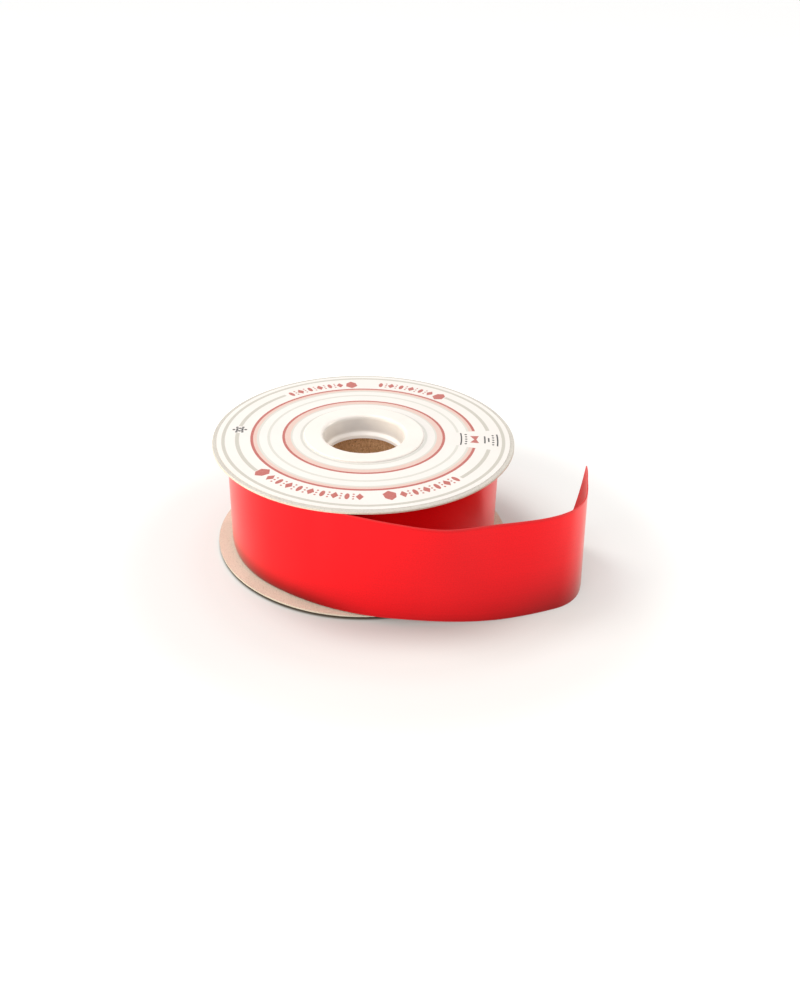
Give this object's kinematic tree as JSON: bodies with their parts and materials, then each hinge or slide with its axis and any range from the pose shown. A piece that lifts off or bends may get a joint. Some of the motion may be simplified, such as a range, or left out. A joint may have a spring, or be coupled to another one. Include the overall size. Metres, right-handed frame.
{
  "type": "ribbon spool",
  "caption": "Spool of wide satin gift ribbon: printed board flanges on a kraft core with plastic hubs, and a free tail that curls back to a slanted cut.",
  "frame": {"origin": "middle of the spindle bore, on its axis, halfway between the two faces", "axes": "+Z along the bore axis towards the top face; -Y towards the side where the tail leaves; +X towards the free end"},
  "size_m": [0.125, 0.1043, 0.0404],
  "materials": {
    "flange_board": "raw grey-beige chipboard",
    "face_paper": "white coated paper with printed rings",
    "kraft_tube": "brown kraft, matt",
    "hub_plastic": "satin white moulding",
    "tape": "creped masking tape",
    "ribbon": "glossy red satin"
  },
  "bodies": {
    "spool": {"top_flange": "flange_board", "top_face_paper": "face_paper", "bottom_flange": "flange_board", "bottom_face_paper": "face_paper", "core_tube": "kraft_tube", "top_hub": "hub_plastic", "bottom_hub": "hub_plastic", "starter_tape": "tape", "ribbon_roll": "ribbon"},
    "tail": {"ribbon_last_turn": "ribbon", "ribbon_tail": "ribbon"}
  },
  "joints": [
    {"name": "ribbon_payout", "type": "hinge", "parent": "spool", "child": "tail", "pos_m": [0, 0, 0], "axis": [0, 0, 1], "continuous": true}
  ]
}
